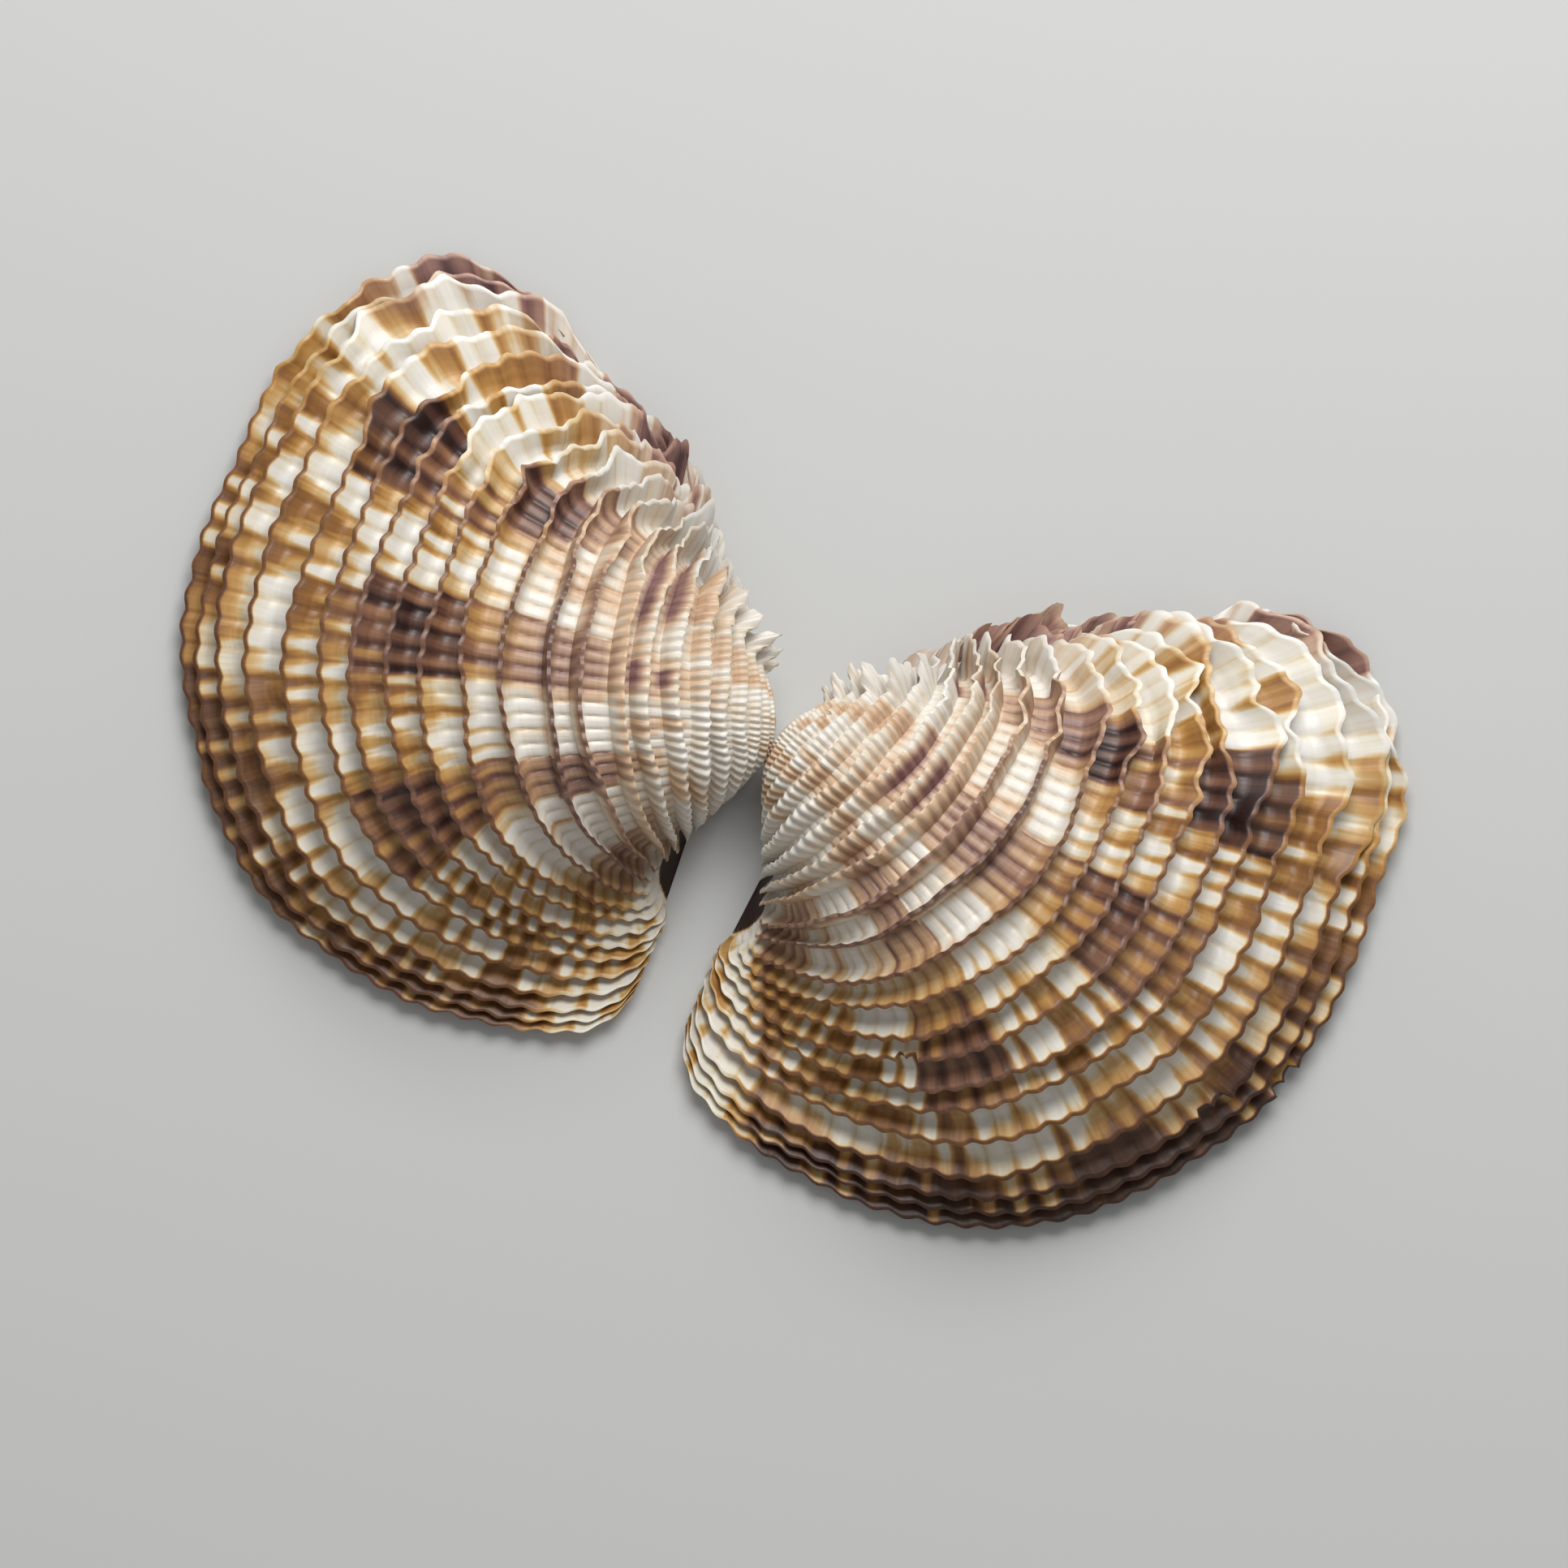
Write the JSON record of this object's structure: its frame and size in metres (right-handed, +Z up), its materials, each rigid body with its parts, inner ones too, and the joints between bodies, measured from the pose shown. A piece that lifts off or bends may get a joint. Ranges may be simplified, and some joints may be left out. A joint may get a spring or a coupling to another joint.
{
  "type": "lamellar venus clam shell",
  "caption": "Lamellar venus clam shell lying open, both domed valves outside up, with frilled concentric lamellae, hollow undersides and flat rims that rest on a surface.",
  "frame": {"origin": "middle of the pair's box, in the plane of the rims that it rests on", "axes": "+Z up out of the outsides of the valves, +X from the right valve to the left valve, +Y towards the siphon ends"},
  "size_m": [0.0774, 0.0608, 0.0143],
  "materials": {
    "shell": "silky natural shell, cream with brown rays and blocks outside, white and glossy inside"
  },
  "bodies": {
    "root": {"right_valve": "shell", "left_valve": "shell"}
  },
  "joints": []
}
